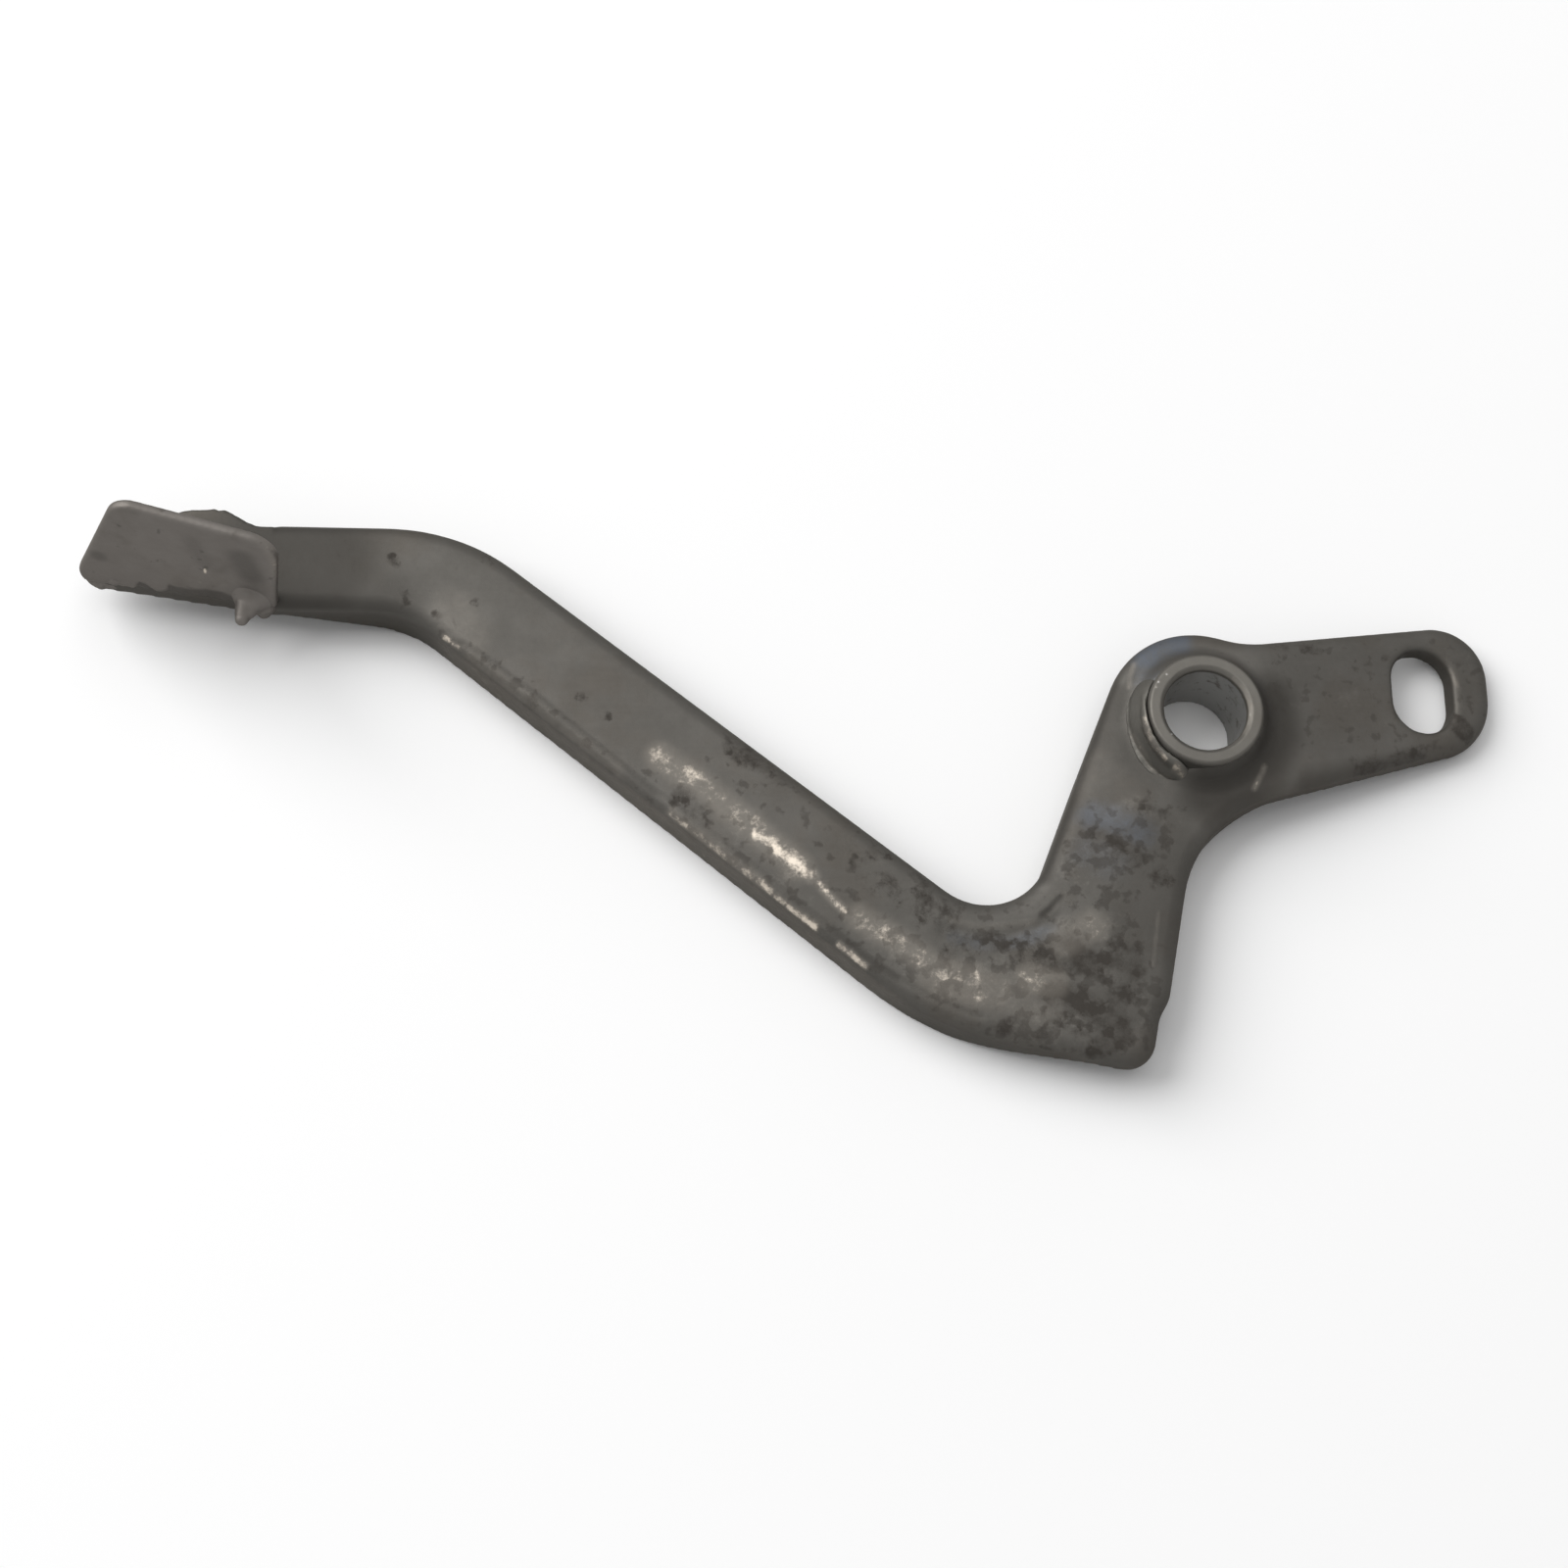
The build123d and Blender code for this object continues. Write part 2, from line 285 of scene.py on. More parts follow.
def points_of(piece):
    """The piece's points and outward normals, points in millimetres."""
    count = len(piece.data.vertices)
    points = np.empty(count * 3)
    normals = np.empty(count * 3)
    piece.data.vertices.foreach_get("co", points)
    piece.data.vertex_normals.foreach_get("vector", normals)
    return points.reshape(-1, 3) / MM, normals.reshape(-1, 3)


def move(piece, points):
    """Puts the piece's points at these places, in millimetres."""
    piece.data.vertices.foreach_set("co", (points * MM).ravel())
    piece.data.update()


def by_bore(points):
    """How far the points are from the bore's axis, and their angles round it in degrees."""
    angles = np.degrees(np.arctan2(points[:, 1], points[:, 0])) % 360
    return np.linalg.norm(points[:, :2], axis=1), angles


def soft(value, low, high):
    """A soft step from 0 at low to 1 at high, for arrays."""
    part = np.clip((value - low) / (high - low), 0, 1)
    return part * part * (3 - 2 * part)


def between(value, rise, fall):
    """1 between two soft steps and 0 outside them, each step given by its two ends."""
    return soft(value, *rise) * (1 - soft(value, *fall))


def swell(distance, height, width):
    """A rounded swelling, highest at no distance and gone after about two widths."""
    return height * np.exp(-(distance / width) ** 2)


def reach(flat, line):
    """Distance from each flat point to a line through the given places, or to a single place."""
    nearest = np.full(len(flat), np.inf)
    places = [np.array(p, float) for p in line]
    for start, end in zip(places, places[1:] or places):
        run = end - start
        along = np.clip((flat - start) @ run / max(run @ run, TINY), 0, 1)
        nearest = np.minimum(nearest, np.linalg.norm(flat - start - along[:, None] * run, axis=1))
    return nearest


def stroke(flat, strokes):
    """Brush strokes: lines with a strength, a full width and a soft edge."""
    field = np.zeros(len(flat))
    for strength, width, edge, line in strokes:
        field = np.maximum(field, strength * (1 - soft(reach(flat, line), width, width + edge)))
    return field


def paint(piece, name, field):
    """Keeps a mark's strength at each point, for the finish to read."""
    attribute = piece.data.attributes.new(name, "FLOAT", "POINT")
    attribute.data.foreach_set("value", field.astype(np.float32))


def finished(piece, material, node):
    """Gives the piece its finish and puts it in the place of its CAD node."""
    piece.data.materials.clear()
    piece.data.materials.append(material)
    piece.data.polygons.foreach_set("use_smooth", np.ones(len(piece.data.polygons), bool))
    piece.data.update()
    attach(piece, "root")
    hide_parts(node)


def ridge_kit():
    """Geometry nodes that run an uneven weld ridge along a line, and the names of their inputs."""
    kit = bpy.data.node_groups.new("weld ridge", "GeometryNodeTree")
    inputs = {}
    kinds = {"Line": "Geometry", "Thickness": "Float", "Seed": "Float", "Steel": "Material"}
    for name, kind in kinds.items():
        socket = kit.interface.new_socket(name, in_out="INPUT", socket_type="NodeSocket" + kind)
        inputs[name] = socket.identifier
    kit.interface.new_socket("Ridge", in_out="OUTPUT", socket_type="NodeSocketGeometry")
    start = Socket(kit)
    entry = kit.nodes.new("NodeGroupInput")
    given = {name: Socket(kit, entry.outputs[name]) for name in inputs}
    line = start.add("GeometryNodeMeshToCurve", {}, {"Mesh": given["Line"]})
    line = start.add("GeometryNodeCurveSplineType", {"spline_type": "CATMULL_ROM"}, {"Curve": line})
    line = start.add("GeometryNodeResampleCurve", {}, {"Curve": line, "Count": RIDGE_STEPS})
    place = start.add("GeometryNodeInputPosition")
    values = {"Vector": place, "W": given["Seed"], "Scale": 0.55 / MM, "Detail": 2.0}
    lumps = start.add("ShaderNodeTexNoise", {"noise_dimensions": "4D"}, values)
    run_out = (start.add("GeometryNodeSplineParameter") * pi).maths("SINE").maths("POWER", 0.45)
    thickness = given["Thickness"] * run_out * (lumps * 1.5 + 0.25)
    values = {"Resolution": RIDGE_SIDES, "Radius": 1.0}
    ring = start.add("GeometryNodeCurvePrimitiveCircle", {}, values)
    values = {"Curve": line, "Profile Curve": ring, "Scale": thickness, "Fill Caps": True}
    ridge = start.add("GeometryNodeCurveToMesh", {}, values)
    ridge = start.add("GeometryNodeRealizeInstances", {}, {"Geometry": ridge})
    ridge = start.add("GeometryNodeSetMaterial", {}, {"Geometry": ridge, "Material": given["Steel"]})
    start.add("NodeGroupOutput", {}, {"Ridge": ridge})
    return kit, inputs


def ridge(line, thickness, seed):
    """The mesh of one weld ridge along a line, in millimetres."""
    mesh = bpy.data.meshes.new("ridge line")
    edges = [(i, i + 1) for i in range(len(line) - 1)]
    mesh.from_pydata([Vector(p) * MM for p in line], edges, [])
    holder = linked("ridge line", mesh)
    nodes = holder.modifiers.new("Ridge", "NODES")
    nodes.node_group = RIDGE
    values = {"Thickness": thickness * MM, "Seed": float(seed), "Steel": weld_finish}
    for name, value in values.items():
        nodes[RIDGE_INPUTS[name]] = value
    run = plain(holder).data
    bpy.data.objects.remove(holder)
    return run


# Pressed arm. Its wear, painted shade and painted highlights are placed in plan by brush strokes in
# millimetres: each has a strength, the width at full strength, the width of its soft edge and the line that it
# follows.

AGE = [
    (1.0, 9.0, 9.0, [(-36, -48), (-22, -50)]),
    (1.0, 4.0, 8.0, [(-22, -46), (-20, -26), (-12, -22)]),
    (0.9, 2.5, 6.0, [(-60, -42), (-48, -49)]),
    (0.75, 3.0, 6.0, [(-93, -18), (-76, -30), (-64, -40)]),
    (0.55, 3.0, 7.0, [(-84, -8), (-66, -20), (-50, -34)]),
    (0.8, 2.0, 4.5, [(-136, 12.5), (-130, 7), (-112, -7), (-98, -17)]),
    (0.35, 4.0, 8.0, [(-152, 28), (-140, 18)]),
    (0.6, 9.0, 8.0, [(20, 6), (50, 6)]),
]
# Worn bright streaks and chips along the arm; the broad strokes at the bend and along the lower shoulder are
# partly painted light
POLISH_AND_PAINTED_LIGHT = [
    (0.66, 0.6, 4.6, [(-97, -8.5), (-89, -14.5), (-80, -22), (-72.5, -28.5)]),
    (0.95, 0.0, 2.9, [(-80, -22.5), (-77, -24.8), (-72.7, -28.5), (-70.3, -30.2)]),
    (0.8, 0.0, 1.8, [(-70.3, -30.2), (-67, -34), (-64.5, -36.5)]),
    (0.66, 0.6, 4.2, [(-62, -37.6), (-55.9, -41.3), (-52.3, -44), (-48.5, -46.6), (-42, -48.2)]),
    (0.7, 0.0, 2.2, [(-95, -18.8), (-89.6, -23.4), (-84, -27.7), (-79, -31.5)]),
    (0.9, 0.0, 1.5, [(-79, -31.5), (-77.4, -32.9)]),
    (0.8, 0.0, 1.3, [(-76.6, -33.6), (-75.0, -34.9)]),
    (0.9, 0.0, 1.5, [(-74.3, -35.6), (-72.3, -37.2)]),
    (1.0, 0.0, 1.7, [(-71.6, -37.7), (-69.8, -39.2)]),
    (0.9, 0.0, 1.2, [(-65.5, -42.2), (-64.2, -43.4)]),
    (0.95, 0.0, 1.3, [(-63.6, -43.7), (-62.3, -44.9), (-60.9, -46.1)]),
    (0.85, 0.0, 1.1, [(-136.4, 14.1), (-135.4, 13.4)]),
    (0.8, 0.0, 1.0, [(-134.7, 12.8), (-133.6, 12)]),
    (0.42, 1.0, 7.0, [(-135, 19), (-131.5, 14)]),
    (0.46, 1.0, 4.0, [(-132, 8.5), (-117, -3.5), (-106, -11.6)]),
    (0.54, 1.5, 4.8, [(-49, -47.5), (-45, -49.2), (-38, -50.5)]),
    (0.64, 1.4, 3.6, [(-32.3, -48.3), (-28.4, -48.9)]),
    (0.4, 1.5, 4.5, [(-37, -51), (-29.5, -53.3)]),
    (0.58, 1.4, 4.0, [(-26, -41.2), (-21.2, -38.6)]),
    (0.3, 3.0, 6.0, [(-19.4, -10.5), (-16.5, -15)]),
    (0.35, 0.2, 1.4, [(-46, -38), (-40, -39.2), (-34, -38.4), (-31.5, -37.9)]),
    (0.4, 0.1, 0.7, [(-9.3, -36.1), (-9.8, -39.4), (-10.7, -45.6)]),
    (0.6, 0.1, 1.1, [(11.2, -8.7), (10.6, -10.2), (9.2, -12.8)]),
    (0.5, 0.1, 0.8, [(48.6, 12.6), (49.8, 9.5)]),
    (0.55, 0.1, 0.9, [(-11.4, 10.8), (-12.2, 8.2), (-12.6, 6.0)]),
]
RUST = [
    (0.5, 2.0, 4.0, [(-27, -44), (-22, -43.5), (-15.3, -44.8)]),
    (0.55, 2.0, 3.5, [(-17, -45.7), (-17, -51)]),
    (0.55, 3.0, 4.0, [(-27.6, -53), (-19, -56)]),
    (0.45, 1.5, 4.0, [(-29.6, -60), (-22.5, -60)]),
    (0.45, 0.6, 2.0, [(-37, -56.3)]),
    (0.45, 1.0, 3.0, [(-8.5, -29.6)]),
    (0.4, 2.0, 5.0, [(-45, -44), (-34, -44)]),
    (0.3, 3.0, 6.0, [(-58, -28), (-48, -36)]),
    (0.22, 2.0, 5.0, [(-20, -24), (-10, -24)]),
    (0.5, 0.6, 1.6, [(-11, -16.8), (-9.6, -17)]),
    (0.5, 0.6, 1.6, [(-7.4, -17.8), (-6.2, -17.6)]),
    (0.45, 0.5, 1.4, [(-4.2, -16.9)]),
    (0.5, 0.6, 1.8, [(-129.3, 29)]),
    (0.42, 0.4, 1.2, [(-130.9, 20.3)]),
    (0.42, 0.5, 1.6, [(-111.3, 2.1)]),
    (0.42, 0.5, 1.6, [(-107, -1.2)]),
    (0.42, 0.5, 1.4, [(-127.3, 4.6)]),
    (0.42, 0.5, 1.4, [(-119.9, 2.0)]),
    (0.5, 1.5, 3.0, [(-93, -16.5), (-90, -18.5)]),
    (0.45, 1.0, 2.4, [(-84, -6.5), (-75, -12)]),
    (0.42, 0.5, 1.1, [(-146.3, 28.8), (-145.3, 27.6)]),
    (0.42, 0.5, 1.4, [(-144.2, 22.9), (-142.7, 20.6)]),
    (0.42, 0.5, 1.4, [(-137.5, 17.5)]),
    (0.65, 0.8, 2.4, [(49, 2.2), (50.2, 0.4)]),
    (0.5, 0.4, 1.2, [(36, 14)]),
    (0.45, 0.6, 1.6, [(28.3, -6.2)]),
    (0.5, 0.8, 2.6, [(30, -8), (36, -6.4), (41, -5.2)]),
    (0.42, 1.0, 3.6, [(13, 17), (22, 15.5)]),
    (0.35, 1.0, 2.5, [(15, 3), (14.5, 6)]),
]
BLUE = [
    (0.95, 0.5, 5.5, [(-9, 12.5), (-6.2, 14.8), (-3.5, 15.3)]),
    (0.5, 1.0, 5.0, [(-9.5, 8)]),
    (0.7, 0.5, 6.0, [(-20.2, -18.5), (-15.8, -19.4), (-11.6, -21.5)]),
    (0.45, 1.5, 6.5, [(-21, -25), (-17, -27)]),
    (0.55, 0.4, 3.0, [(-45.2, -41), (-40.9, -42), (-34, -41.5), (-28, -39.5)]),
]
# Darkening strokes: painted shade round the tube, along the upright's left edge and the lever's lower edge,
# the pad's painted shadow on the neck, darker lines in the groove and the crack, and broader darker tone on
# the lever and the upright
SHADE = [
    (0.85, 1.2, 6.5, [(13.6, 4), (14, -2), (11, -8), (6, -12.5), (0, -14.5)]),
    (0.65, 0.8, 2.2, [(-15.3, 5.6), (-18.3, -2.8), (-22.3, -12.4), (-26.6, -22.4), (-29, -29)]),
    (0.15, 8.0, 8.0, [(24, 4), (52, 6)]),
    (0.75, 7.0, 11.0, [(-170, 26), (-161, 27)]),
    (0.45, 2.0, 9.0, [(-156, 20), (-148, 20)]),
    (0.2, 4.0, 9.0, [(-15, -50), (-14, -58)]),
    (0.35, 3.0, 7.0, [(-8, -24), (-12, -40)]),
    (0.45, 1.0, 4.0, [(20, -11), (40, -6.5)]),
    (0.6, 0.2, 0.8, [(-29.8, -36.8), (-28.0, -35.4), (-26.4, -33.6)]),
    (0.3, 0.1, 0.7, [(-129, 10), (-119, 2.5), (-108, -6.7), (-98, -15)]),
    (0.5, 0.2, 0.8, [(-66.4, -39.9), (-61, -44.5), (-55.6, -48.2)]),
]
WEAR_AND_SHADE = {"age": AGE, "polish_and_painted_light": POLISH_AND_PAINTED_LIGHT, "rust": RUST, "blue": BLUE, "shade": SHADE}
GROOVE = [(-133, 12.4), (-129, 10), (-119, 2.5), (-108, -6.7), (-98, -15), (-92, -19.2), (-86, -24),
          (-78.5, -30.2), (-71.7, -36), (-66.4, -39.7), (-61, -44.5), (-55.6, -48.2), (-48, -52.6),
          (-41, -55.2)]
CREASE = [(-47, -39.6), (-41, -40.6), (-36, -40.6), (-31, -39.2), (-27.5, -37.4)]
CRACK = [(-29.8, -36.8), (-28.8, -36.2), (-28.0, -35.4), (-27.3, -34.3), (-26.4, -33.6)]
# Lumps and hollows along the hump behind the tread plate: place in X, height and width
HUMP = [(-176.8, 0.9, 3.2), (-182.8, 0.5, 3.2), (-184.3, 0.3, 1.2), (-178.0, -0.35, 1.5), (-175.4, -0.25, 1.0),
        (-178.3, -0.2, 0.6)]
CROWN_DROP = 0.5
CROWN_WIDTH = 6
ROOT_RISE = 4.9
ROOT_HELD_BY_WELD = 2.9
ROOT_R = 14.6
TUCKED_R = 11.2

arm = even(copied("worn_arm", "pedal_arm"), voxel=0.5, rounds=6)
points, normals = points_of(arm)
flat = points[:, :2]
from_bore, around = by_bore(points)
facing = np.abs(normals[:, 2])
front = soft(normals[:, 2], 0.15, 0.6)
walls = flat[(facing < 0.3) & (points[:, 2] > 7.0) & (from_bore > 12)]
tree = KDTree(len(walls))
for index, wall in enumerate(walls):
    tree.insert((*wall, 0), index)
tree.balance()
rim = np.array([tree.find((x, y, 0))[2] for x, y in flat])

# The pressing's rounded crown, the dents in it and the soft root round the tube
high = soft(points[:, 2], 1.0, 9.5)
seat = (1 - soft(flat[:, 1], -4, 6)) + (flat[:, 0] < -40)
channel = between(flat[:, 0], (-150, -135), (4, 14)) * np.minimum(seat, 1)
crown = CROWN_DROP * channel * high * (1 - np.clip(rim / CROWN_WIDTH, 0, 1)) ** 2
groove = swell(reach(flat, GROOVE), height=0.2, width=0.6)
crease = swell(reach(flat, CREASE), height=0.45, width=1.3)
crack = swell(reach(flat, CRACK), height=0.4, width=0.3)
welded = between(around, (128, 165), (240, 275))
upper = soft(points[:, 2], 8, 10.8)
near_tube = np.clip((ROOT_R - from_bore) / (ROOT_R - TUBE_R), 0, 1)
root = (ROOT_RISE - ROOT_HELD_BY_WELD * welded) * near_tube ** 2.2 * upper
points[:, 2] += root - crown - front * (groove + crease + crack)

# The root is tucked a little into the tube, so that no gap shows. From here on flat follows the moved points
tucked = np.clip((TUCKED_R - from_bore) / (TUCKED_R - TUBE_R), 0, 1)
points[:, :2] *= (1 - 0.04 * upper * tucked)[:, None]
hump = sum(swell(flat[:, 0] - place, height, width) for place, height, width in HUMP)
points[:, 1] += hump * soft(flat[:, 1], 33, 37)
move(arm, points)

# The lower side wall is painted lighter, partly wear and partly painted light, and the other side walls are
# painted a little darker as painted shade
lower = (1 - soft(facing, 0.2, 0.6)) * soft(-normals[:, 1], 0.3, 0.8)
lower *= between(flat[:, 0], (-142, -134), (-60, -46))
sides = 0.1 * (1 - soft(facing, 0.0, 0.4)) * (1 - lower)
on_sides = {"age": 0.7 * lower, "polish_and_painted_light": 0.44 * lower, "shade": sides}
for name, strokes in WEAR_AND_SHADE.items():
    paint(arm, name, np.maximum(front * stroke(flat, strokes), on_sides.get(name, 0.0)))
finished(arm, arm_finish, "pedal_arm")

# Pivot tube, with its outer edge worn round

# Bright specks on the tube's face painted as glints, and a painted highlight on the bore's chamfer at its
# right
TUBE_SPOTS = ((-6.9, 6.4), (-8.4, 4.9), (-8.9, 3.9), (-6.5, -4.9))
TUBE_SPECKS = [(1.0, 0.1, 0.35, [spot]) for spot in TUBE_SPOTS]
TUBE_EDGE = [(0.6, 0.1, 0.5, [(5.2, 6.0), (7.0, 3.8), (7.9, 0.8), (7.8, -1.5), (6.6, -4.3)])]
EDGE_WORN = 0.4
EDGE_WIDTH = 0.6

tube = even(copied("turned_tube", "pivot_tube"), voxel=0.25, rounds=1)
points, normals = points_of(tube)
from_bore = by_bore(points)[0]
edge = np.clip((from_bore - (TUBE_R - EDGE_WIDTH)) / EDGE_WIDTH, 0, 1)
points[:, 2] -= EDGE_WORN * edge ** 2 * soft(points[:, 2], 14, 16.8)
move(tube, points)
# The bore's inner wall is painted lighter, as painted light on turned steel
inside = (1 - soft(from_bore, 7.55, 7.9)) * soft(16.4 - points[:, 2], 0, 1.5)
rubbed_and_painted_light = soft(normals[:, 2], 0.1, 0.5) * stroke(points[:, :2], TUBE_SPECKS + TUBE_EDGE)
paint(tube, "polish_and_painted_light", np.maximum(rubbed_and_painted_light, 1.2 * inside))
# Painted shade darkens the tube's outer edge
paint(tube, "shade", 0.25 * soft(from_bore, TUBE_R - 0.5, TUBE_R))
finished(tube, tube_finish, "pivot_tube")

# Tread plate, with its stains, wear and painted highlight placed in X and Z


def on_seam(along, out, proud):
    """A place by the tread plate's seam: along it, out from the arm and proud of the plate's lower face."""
    return SEAM_START + SEAM_RUN * along + SEAM_OUT * out + SEAM_PROUD * proud


def by_seam(points):
    """How far along the seam, out from the arm and proud of the plate's lower face the points are."""
    return ((points - np.array(SEAM_START)) @ np.array([SEAM_RUN, SEAM_OUT, SEAM_PROUD]).T).T


def drip_root():
    """The flared root that runs from the tread plate's face up the weld's drip, wider on its right."""
    turns = np.linspace(0, 2 * pi, DRIP_SIDES, endpoint=False)
    spots = []
    for proud, left, right, up, down in DRIP_ROOT:
        for run, rise in zip(np.cos(turns), np.sin(turns)):
            along = DRIP_ALONG + run * (right if run > 0 else left)
            out = DRIP_OUT + rise * (up if rise > 0 else down)
            spots.append(on_seam(along, out, proud) * MM)
    last = len(spots) - DRIP_SIDES
    faces = [tuple(range(DRIP_SIDES)), tuple(reversed(range(last, len(spots))))]
    for low in range(0, last, DRIP_SIDES):
        for i in range(DRIP_SIDES):
            j = (i + 1) % DRIP_SIDES
            faces.append((low + j, low + i, low + DRIP_SIDES + i, low + DRIP_SIDES + j))
    mesh = bpy.data.meshes.new("drip root")
    mesh.from_pydata(spots, [], faces)
    return mesh


def under_weld(along, out):
    """1 in the dark strip under the scalloped lower edge of the weld, 0 above it."""
    return soft(np.interp(along, *zip(*SCALLOPS)) - out, -0.4, 0.6)


SEAM_TURN = radians(8.4)
PAD_TILT = radians(10)
SEAM_START = Vector((-199.9, 23.6, 11.0))
SEAM_RUN = Vector((cos(SEAM_TURN), -sin(SEAM_TURN), 0))
SEAM_OUT = Vector((sin(SEAM_TURN) * sin(PAD_TILT), cos(SEAM_TURN) * sin(PAD_TILT), cos(PAD_TILT)))
SEAM_PROUD = SEAM_RUN.cross(SEAM_OUT)
# The scalloped lower edge of the weld: places along the seam and out from the arm
SCALLOPS = [(3.9, -5), (4.3, -1.1), (6.2, -1.3), (7.5, -0.6), (9.3, 2.0), (10.3, 1.8), (12.5, -0.4),
            (14.2, 1.1), (14.6, 2.5), (15.9, 2.0), (18.4, 2.0), (21.4, 2.7), (24.4, 2.6), (25.9, 1.7),
            (26.6, -0.4), (27, -5)]
# Rings of the drip's root: how proud each is, and its reach to the left, right, up and down
DRIP_ROOT = [(3.7, 1.2, 1.3, 1.2, 1.2), (2.7, 1.4, 2.1, 1.4, 1.5), (1.9, 1.6, 2.5, 1.6, 1.7),
             (1.1, 1.8, 3.1, 2.0, 2.0), (0.66, 2.0, 3.6, 2.6, 2.3), (0.27, 2.3, 4.2, 3.5, 2.6),
             (0.08, 2.7, 4.5, 4.3, 2.8), (-0.08, 3.1, 4.7, 5.0, 3.0), (-1.6, 3.1, 4.7, 5.0, 3.0)]
DRIP_SIDES = 40
DRIP_ALONG = 28.6
DRIP_OUT = 0.6
# Painted shade in the strip under the weld's scalloped edge
STRIP_SHADE = 0.6
PAD_AGE = 0.28
PAD_SHADE = [
    (0.4, 0.8, 3.0, [(-170.4, 25.5), (-169.6, 20.5)]),
    (0.4, 0.5, 1.8, [(-196.8, 19.1)]),
    (0.16, 0.5, 2.0, [(-178.5, 28), (-177.5, 22)]),
]
PAD_POLISH_AND_HIGHLIGHT = [
    # A painted highlight along the plate's top and right rims, then worn bright flecks
    (0.5, 0.3, 2.2, [(-176, 35.0), (-170, 34.4), (-166.5, 32.4), (-164.6, 28), (-164.4, 20)]),
    (0.3, 0.8, 4.0, [(-184, 16), (-176, 17)]),
    (0.9, 0.1, 0.5, [(-177.7, 20.1), (-177.9, 19.0)]),
    (0.6, 0.1, 0.5, [(-179.4, 15.6)]),
]

tread = even(copied("tread_plate", "foot_pad"), voxel=0.3, rounds=14)
points = points_of(tread)[0]
upright = points[:, [0, 2]]
along, out, proud = by_seam(points)
dark = under_weld(along, out) * soft(proud, -2.0, -1.0)
lumps = (0.4 - 0.25 * soft(along, 12, 15)) * (1 - soft(along, 23, 26)) * (1 - dark) * soft(6 - out, 0, 5)
points += (lumps * soft(proud, -1.2, -0.4))[:, None] * np.array(SEAM_PROUD)
points[:, 2] -= 0.8 * (1 - soft(points[:, 2], 10.8, 13))
move(tread, points)
paint(tread, "age", np.full(len(points), PAD_AGE))
# Dark stains, and painted shade in the strip under the weld
paint(tread, "shade", np.maximum(stroke(upright, PAD_SHADE), STRIP_SHADE * dark))
paint(tread, "polish_and_painted_light", stroke(upright, PAD_POLISH_AND_HIGHLIGHT))
finished(tread, pad_steel_painted_lighter, "foot_pad")

# Weld by the tube, with ridges laid over the plain bead

RIDGE, RIDGE_INPUTS = ridge_kit()
TOE = [(-12.6, 5.4, 10.6), (-13.1, 1.8, 11.0), (-12.9, -2.0, 11.0), (-12.1, -5.6, 11.0),
       (-10.3, -9.0, 11.0), (-8.0, -10.9, 10.9), (-5.6, -12.0, 10.6)]
INNER = [(-11.0, 3.4, 13.6), (-11.1, -1.0, 14.0), (-10.5, -4.1, 14.0), (-9.0, -7.0, 13.8),
         (-7.0, -9.1, 13.4), (-5.4, -10.2, 12.8), (-4.0, -10.9, 12.0), (-2.6, -11.4, 10.4)]
# Painted highlights on the weld's ridge tops and on a bright blob at its lower end
BEAD_HIGHLIGHT = [
    (0.75, 0.2, 1.0, [(-5.6, -10.2), (-3.8, -11.2), (-2.2, -12.0)]),
    (0.56, 0.1, 0.7, [(-12.6, -3.5), (-9.4, -9.6), (-7.4, -11.0), (-6.0, -11.7)]),
    (0.66, 0.1, 0.6, [(-11.1, -1.5), (-10.6, -4.2), (-9.6, -6.6), (-7.4, -9.0)]),
]
BEAD_FOOT = 10.6
BEAD_RISE = 2.3

ridges = [ridge(TOE, thickness=0.45, seed=3), ridge(INNER, thickness=0.6, seed=8)]
tube_bead = even(copied("tube_weld_bead", "pivot_weld", *ridges), voxel=0.2, rounds=14)
points = points_of(tube_bead)[0]
from_bore, around = by_bore(points)
whole = between(around, (112, 165), (238, 268))
risen = BEAD_RISE * whole * soft(12.9 - from_bore, 0, 2.4)
points[:, 2] = BEAD_FOOT + (points[:, 2] - BEAD_FOOT) * (0.1 + 0.9 * whole) + risen
points[:, :2] *= ((TUBE_R + (from_bore - TUBE_R) * (0.5 + 0.5 * whole)) / from_bore)[:, None]
move(tube_bead, points)
paint(tube_bead, "polish_and_painted_light", stroke(points[:, :2], BEAD_HIGHLIGHT))
finished(tube_bead, weld_finish, "pivot_weld")

# Weld under the tread plate, with ridges at both ends. It is pressed into the plate in the dark strip

END_FILL = [(27.2, -0.6, -1.2), (29.5, -1.2, -1.3), (31.5, -1.2, -1.3), (33.4, -0.6, -1.5)]
END_FOOT = [(27.4, -2.4, -1.6), (29.5, -2.9, -1.7), (31.5, -2.9, -1.7), (33.2, -2.4, -1.9)]
LEFT_FOOT = [(-1.0, -0.4, -1.3), (1.0, -1.6, -1.4), (3.0, -2.2, -1.5), (5.5, -2.4, -1.7)]
# Each line with its thickness and seed
LAID = ((END_FILL, 2.2, 7), (END_FOOT, 2.1, 9), (LEFT_FOOT, 1.9, 5))

ridges = [ridge([on_seam(*p) for p in line], thickness, seed) for line, thickness, seed in LAID]
ridges.append(drip_root())
tread_bead = even(copied("tread_weld_bead", "pad_weld", *ridges), voxel=0.25, rounds=14)
points = points_of(tread_bead)[0]
along, out, proud = by_seam(points)
dark = under_weld(along, out)
flat_foot = (1 - dark) * np.clip(proud, 0, None) * (1 - soft(proud, 0, 0.8)) * (1 - soft(along, 22, 25))
sunk = dark * np.clip(proud + 0.3, 0, None) + flat_foot
move(tread_bead, points - sunk[:, None] * np.array(SEAM_PROUD))
# Painted shade in the strip under the weld
paint(tread_bead, "shade", STRIP_SHADE * dark)
finished(tread_bead, pad_steel_painted_lighter, "pad_weld")

# Floor, light and camera

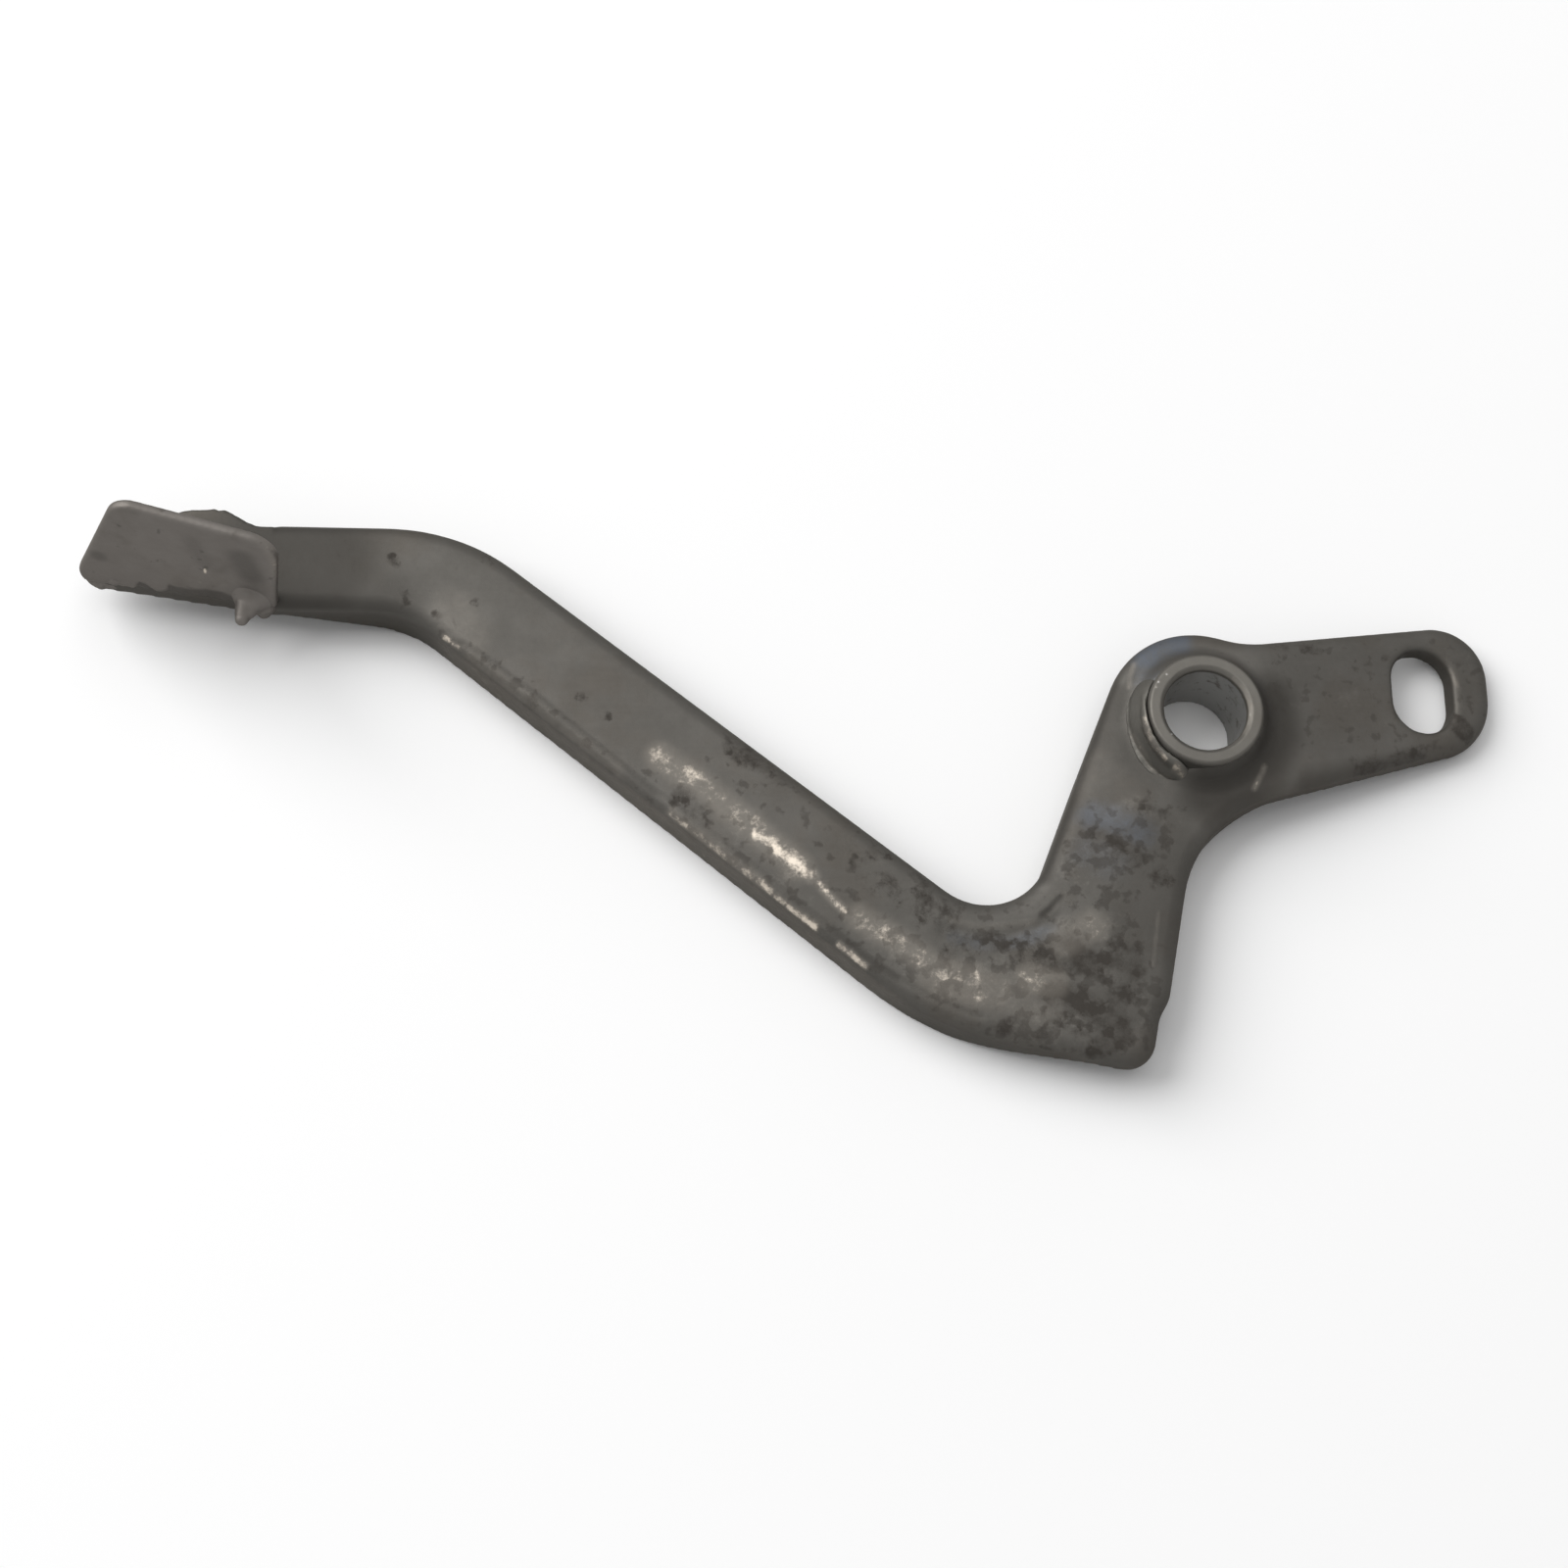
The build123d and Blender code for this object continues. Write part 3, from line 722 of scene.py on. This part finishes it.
FLOOR_CORNERS = [(-4, -4, 0), (4, -4, 0), (4, 4, 0), (-4, 4, 0)]
PAPER = (0.95, 0.95, 0.95, 1)
# In metres from the middle of the floor
WHITE_FROM, WHITE_BY = 0.3, 0.8
LIT_PLACE = (-0.06, 0, 0)


def ground():
    """A white floor that shows plain white far from the object."""
    mesh = bpy.data.meshes.new("floor")
    mesh.from_pydata(FLOOR_CORNERS, [], [(0, 1, 2, 3)])
    material = bpy.data.materials.new("floor white")
    start = cleared(material)
    place = start.add("ShaderNodeTexCoord", {}, {}, "Object")
    away = start.add("ShaderNodeVectorMath", {"operation": "LENGTH"}, {0: place}, "Value")
    seen = start.add("ShaderNodeLightPath", {}, {}, "Is Camera Ray")
    values = {"Base Color": PAPER, "Roughness": 0.9, "Specular IOR Level": 0.1}
    paper = start.add("ShaderNodeBsdfPrincipled", {}, values)
    glow = start.add("ShaderNodeEmission", {}, {"Color": WHITE, "Strength": 1.0})
    far = away.step(WHITE_FROM, WHITE_BY) * seen
    shader = start.add("ShaderNodeMixShader", {}, {0: far, 1: paper, 2: glow})
    start.add("ShaderNodeOutputMaterial", {}, {"Surface": shader})
    mesh.materials.append(material)
    linked("floor", mesh)


def lamp(name, place, size, power):
    """A round lamp that points at the object."""
    light = bpy.data.lights.new(name, "AREA")
    light.shape = "DISK"
    light.size = size
    light.energy = power
    holder = linked(name, light)
    holder.location = place
    aim = Vector(LIT_PLACE) - Vector(place)
    holder.rotation_euler = aim.to_track_quat("-Z", "Y").to_euler()


def sky(strength):
    """A world that lights gently and is white where it is seen or reflected."""
    world = bpy.data.worlds.new("studio")
    scene.world = world
    start = cleared(world)
    path = world.node_tree.nodes.new("ShaderNodeLightPath")
    seen, glossy, through = [Socket(world.node_tree, path.outputs[f"Is {ray} Ray"])
                             for ray in ("Camera", "Glossy", "Transmission")]
    level = (seen + glossy + through).maths("MINIMUM", 1.0).span(strength, 1.0)
    glow = start.add("ShaderNodeBackground", {}, {"Color": WHITE, "Strength": level})
    start.add("ShaderNodeOutputWorld", {}, {"Surface": glow})


def view_from(place, look, up, lens):
    """The photo's camera: its place in millimetres, and the ways it looks and holds upright."""
    camera = bpy.data.cameras.new("camera")
    camera.sensor_width = 36
    camera.lens = lens
    camera.clip_start = 0.01
    holder = linked("camera", camera)
    back = -Vector(look).normalized()
    right = Vector(up).cross(back).normalized()
    turn = Matrix((right, back.cross(right), back)).transposed().to_4x4()
    holder.matrix_world = Matrix.Translation(Vector(place) * MM) @ turn
    scene.camera = holder


ground()
lamp("key", place=(-2.25, 1.2, 2.0), size=3.0, power=103)
lamp("overhead", place=(0.06, 0.93, 2.85), size=2.8, power=19)
sky(strength=0.35)
view_from(place=(-93.8, -145.2, 409.1), look=(0.0446, 0.3141, -0.9484), up=(-0.0148, 0.9494, 0.3137),
          lens=54.38)
scene.view_settings.view_transform = "Standard"
